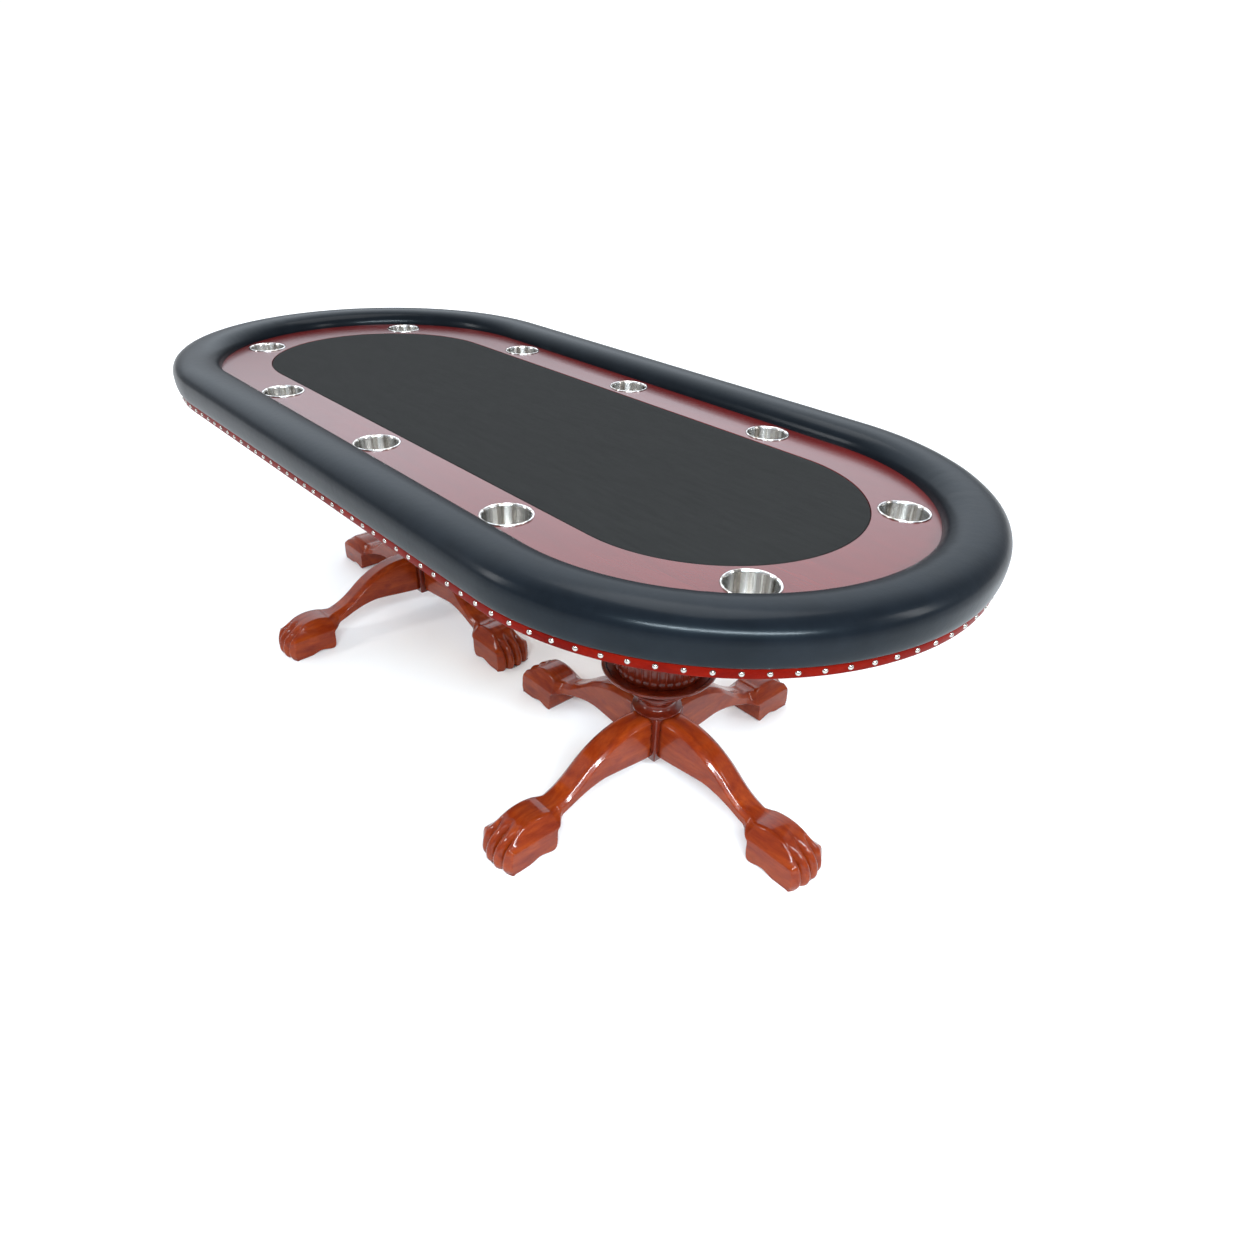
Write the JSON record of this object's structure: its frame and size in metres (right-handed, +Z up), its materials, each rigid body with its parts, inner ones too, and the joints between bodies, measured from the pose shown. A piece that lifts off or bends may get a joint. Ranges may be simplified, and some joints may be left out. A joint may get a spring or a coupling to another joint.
{
  "type": "poker table",
  "caption": "Oval poker table with a padded rail, wooden racetrack with drop-in cup holders, a recessed cloth playing field and carved pedestal legs.",
  "frame": {"origin": "on the floor under the middle of the table", "axes": "+X along the table's length, +Y across it, +Z up"},
  "size_m": [2.3876, 1.118, 0.822],
  "materials": {
    "stained_edge": "satin lacquered red-stained board edge",
    "nickel": "polished nickel-plated nail heads",
    "racetrack_mahogany": "high-gloss mahogany veneer",
    "carved_mahogany": "high-gloss turned and carved mahogany",
    "plywood": "raw plywood",
    "foam": "upholstery foam",
    "playing_cloth": "charcoal speed cloth, fine woven",
    "black_vinyl": "smooth black upholstery vinyl, semi-gloss",
    "stainless": "brushed stainless steel",
    "zinc_steel": "zinc-plated fasteners"
  },
  "bodies": {
    "root": {"deck_ring": "stained_edge", "deck_panel": "plywood", "edge_nails_1": "nickel", "edge_nails_2": "nickel", "playing_deck": "plywood", "spacer_ring": "plywood", "racetrack_front": "racetrack_mahogany", "racetrack_right": "racetrack_mahogany", "racetrack_back": "racetrack_mahogany", "racetrack_left": "racetrack_mahogany", "rail_core": "plywood", "rail_skirt": "plywood", "rail_padding": "foam", "rail_cover": "black_vinyl", "rail_bolts": "zinc_steel", "rail_t_nuts": "zinc_steel", "pedestal_battens": "plywood", "end_battens": "plywood", "batten_screws": "zinc_steel", "left_top_plate": "plywood", "left_capital": "carved_mahogany", "left_urn": "carved_mahogany", "left_collar": "carved_mahogany", "left_stem": "carved_mahogany", "left_hub": "carved_mahogany", "left_leg_outer": "carved_mahogany", "left_leg_front": "carved_mahogany", "left_leg_inner": "carved_mahogany", "left_leg_back": "carved_mahogany", "left_leg_dowels": "plywood", "left_tie_rod": "zinc_steel", "left_tie_rod_nuts": "zinc_steel", "left_plate_bolts": "zinc_steel", "right_top_plate": "plywood", "right_capital": "carved_mahogany", "right_urn": "carved_mahogany", "right_collar": "carved_mahogany", "right_stem": "carved_mahogany", "right_hub": "carved_mahogany", "right_leg_outer": "carved_mahogany", "right_leg_front": "carved_mahogany", "right_leg_inner": "carved_mahogany", "right_leg_back": "carved_mahogany", "right_leg_dowels": "plywood", "right_tie_rod": "zinc_steel", "right_tie_rod_nuts": "zinc_steel", "right_plate_bolts": "zinc_steel"},
    "playing_field": {"playing_board": "plywood", "playing_foam": "foam", "playing_cloth": "playing_cloth"},
    "cup_1": {"cup_holder_1": "stainless"},
    "cup_2": {"cup_holder_2": "stainless"},
    "cup_3": {"cup_holder_3": "stainless"},
    "cup_4": {"cup_holder_4": "stainless"},
    "cup_5": {"cup_holder_5": "stainless"},
    "cup_6": {"cup_holder_6": "stainless"},
    "cup_7": {"cup_holder_7": "stainless"},
    "cup_8": {"cup_holder_8": "stainless"},
    "cup_9": {"cup_holder_9": "stainless"},
    "cup_10": {"cup_holder_10": "stainless"}
  },
  "joints": [
    {"name": "playing_field_lift", "type": "slide", "parent": "root", "child": "playing_field", "axis": [0, 0, 1], "range_m": [0, 0.06]},
    {"name": "cup_1_lift", "type": "slide", "parent": "root", "child": "cup_1", "axis": [0, 0, 1], "range_m": [0, 0.11]},
    {"name": "cup_2_lift", "type": "slide", "parent": "root", "child": "cup_2", "axis": [0, 0, 1], "range_m": [0, 0.11]},
    {"name": "cup_3_lift", "type": "slide", "parent": "root", "child": "cup_3", "axis": [0, 0, 1], "range_m": [0, 0.11]},
    {"name": "cup_4_lift", "type": "slide", "parent": "root", "child": "cup_4", "axis": [0, 0, 1], "range_m": [0, 0.11]},
    {"name": "cup_5_lift", "type": "slide", "parent": "root", "child": "cup_5", "axis": [0, 0, 1], "range_m": [0, 0.11]},
    {"name": "cup_6_lift", "type": "slide", "parent": "root", "child": "cup_6", "axis": [0, 0, 1], "range_m": [0, 0.11]},
    {"name": "cup_7_lift", "type": "slide", "parent": "root", "child": "cup_7", "axis": [0, 0, 1], "range_m": [0, 0.11]},
    {"name": "cup_8_lift", "type": "slide", "parent": "root", "child": "cup_8", "axis": [0, 0, 1], "range_m": [0, 0.11]},
    {"name": "cup_9_lift", "type": "slide", "parent": "root", "child": "cup_9", "axis": [0, 0, 1], "range_m": [0, 0.11]},
    {"name": "cup_10_lift", "type": "slide", "parent": "root", "child": "cup_10", "axis": [0, 0, 1], "range_m": [0, 0.11]}
  ]
}
